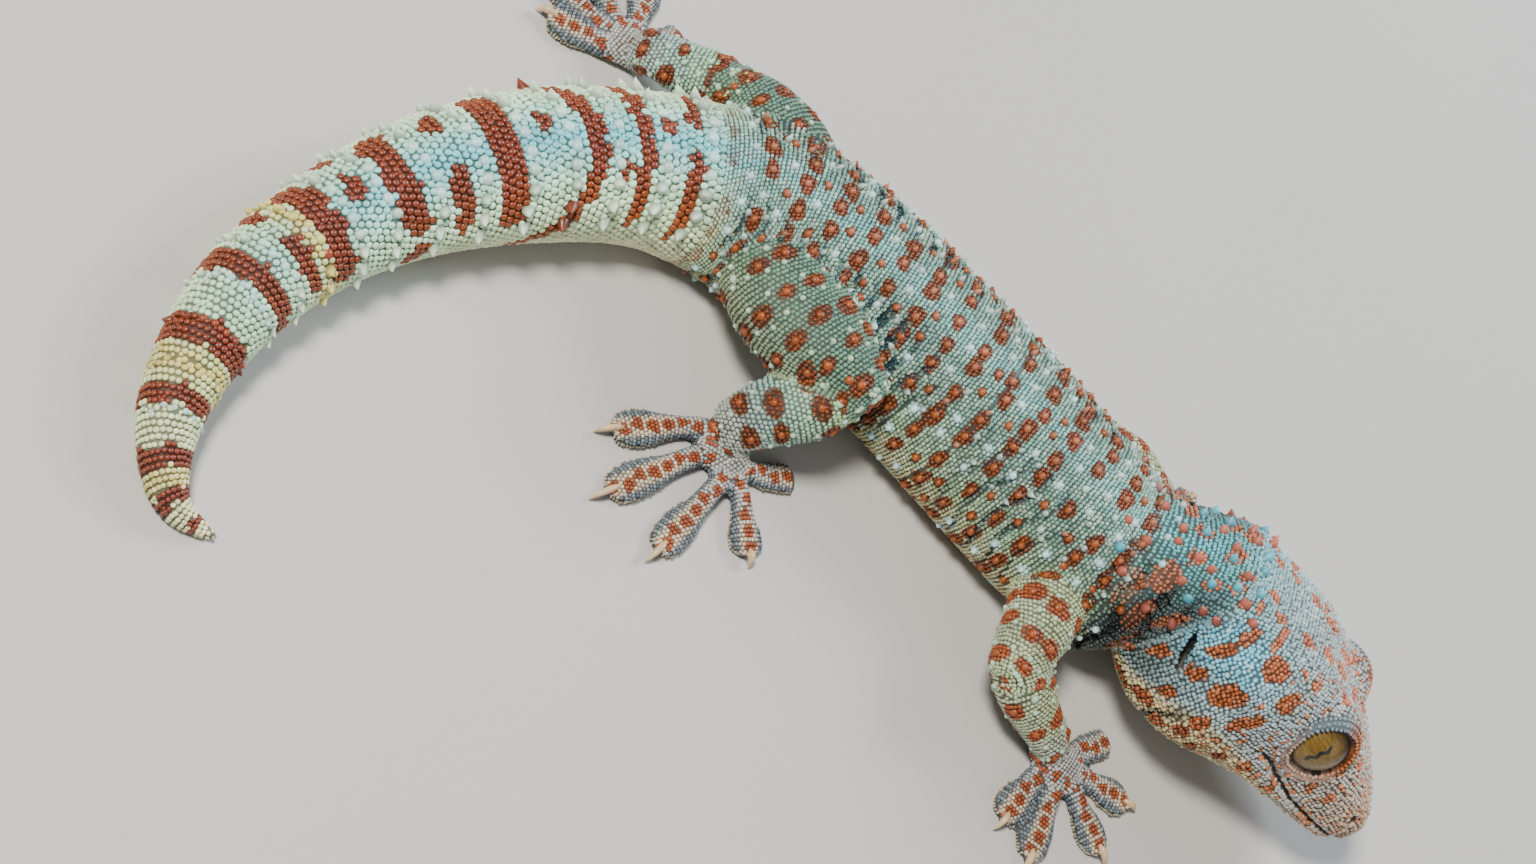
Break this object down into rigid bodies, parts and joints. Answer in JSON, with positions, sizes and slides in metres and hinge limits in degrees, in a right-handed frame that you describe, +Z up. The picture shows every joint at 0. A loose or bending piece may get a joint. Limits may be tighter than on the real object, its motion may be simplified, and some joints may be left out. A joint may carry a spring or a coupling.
{
  "type": "tokay gecko figure",
  "caption": "Life-size still tokay gecko resting on belly and feet, tail curled to one side, head raised and turned, with broad toe pads and rows of raised scales.",
  "frame": {"origin": "on the floor under the middle of the bounding box", "axes": "+X the way the gecko faces, +Y its left, +Z up"},
  "size_m": [0.2036, 0.1529, 0.0359],
  "materials": {
    "body_skin": "teal grey granular skin with rows of orange brown spots",
    "tail_skin": "pale mint scales with brick red bands",
    "neck_skin": "blue grey folded skin with cyan and salmon tubercles",
    "head_skin": "fine pale blue grey granules with salmon and orange spots",
    "leg_skin": "teal green scales with orange spots",
    "foot_skin": "slate blue toe pads with pale edges and ivory claws",
    "eye": "wet gloss, golden olive with a dark slit"
  },
  "bodies": {
    "root": {"tail_1": "tail_skin", "tail_2": "tail_skin", "tail_3": "tail_skin", "tail_4": "tail_skin", "tail_5": "tail_skin", "torso": "body_skin", "neck": "neck_skin", "head": "head_skin", "eye_left": "eye", "eye_right": "eye", "thigh_right": "leg_skin", "thigh_left": "leg_skin", "shank_right": "leg_skin", "shank_left": "leg_skin", "foot_right": "foot_skin", "foot_left": "foot_skin", "upper_arm_right": "leg_skin", "upper_arm_left": "leg_skin", "forearm_right": "leg_skin", "forearm_left": "leg_skin", "hand_right": "foot_skin", "hand_left": "foot_skin"}
  },
  "joints": []
}
